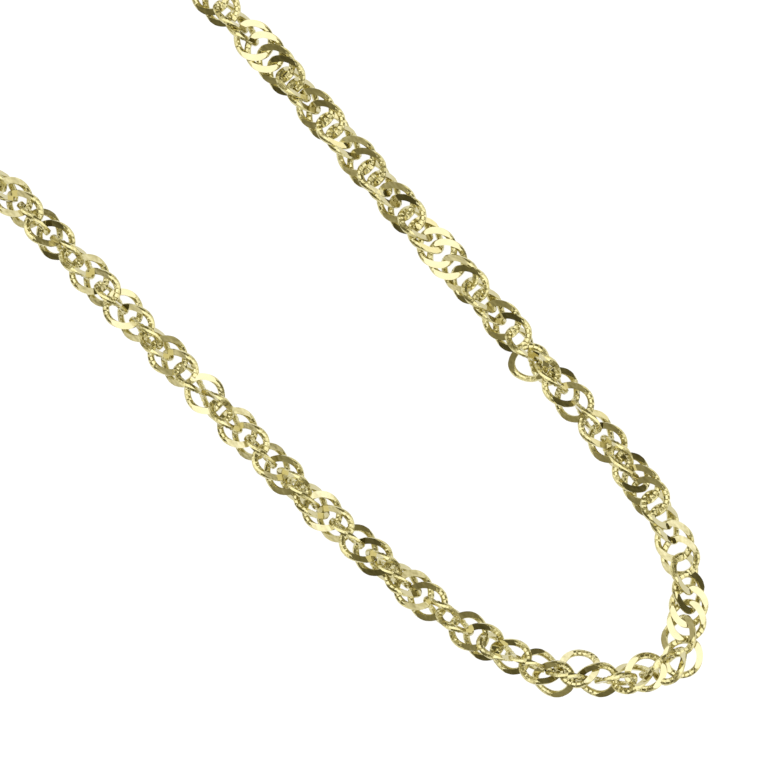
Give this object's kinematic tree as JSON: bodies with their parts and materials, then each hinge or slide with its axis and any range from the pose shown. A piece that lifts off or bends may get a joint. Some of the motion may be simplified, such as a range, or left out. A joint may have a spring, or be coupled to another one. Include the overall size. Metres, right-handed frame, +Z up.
{
  "type": "singapore chain necklace",
  "caption": "Whole loop of twisted curb chain in polished yellow gold, interlocking links round the front, plain ring clasp behind.",
  "frame": {"origin": "middle of the loop's box, on the surface that the chain lies on", "axes": "+Z up from the surface, +Y along the loop from its front to its clasp, +X to the right of the loop seen from above with the clasp at the top"},
  "size_m": [0.0834, 0.1984, 0.0029],
  "materials": {
    "front_chain": "polished yellow gold, links cut flat and bright on both faces",
    "back_chain": "polished yellow gold, links cut flat and bright on both faces",
    "clasp": "polished yellow gold",
    "clasp_ring": "polished yellow gold",
    "end_ring": "polished yellow gold"
  },
  "bodies": {
    "root": {"front_chain": "front_chain", "back_chain": "back_chain", "clasp": "clasp", "clasp_ring": "clasp_ring", "end_ring": "end_ring"}
  },
  "joints": []
}
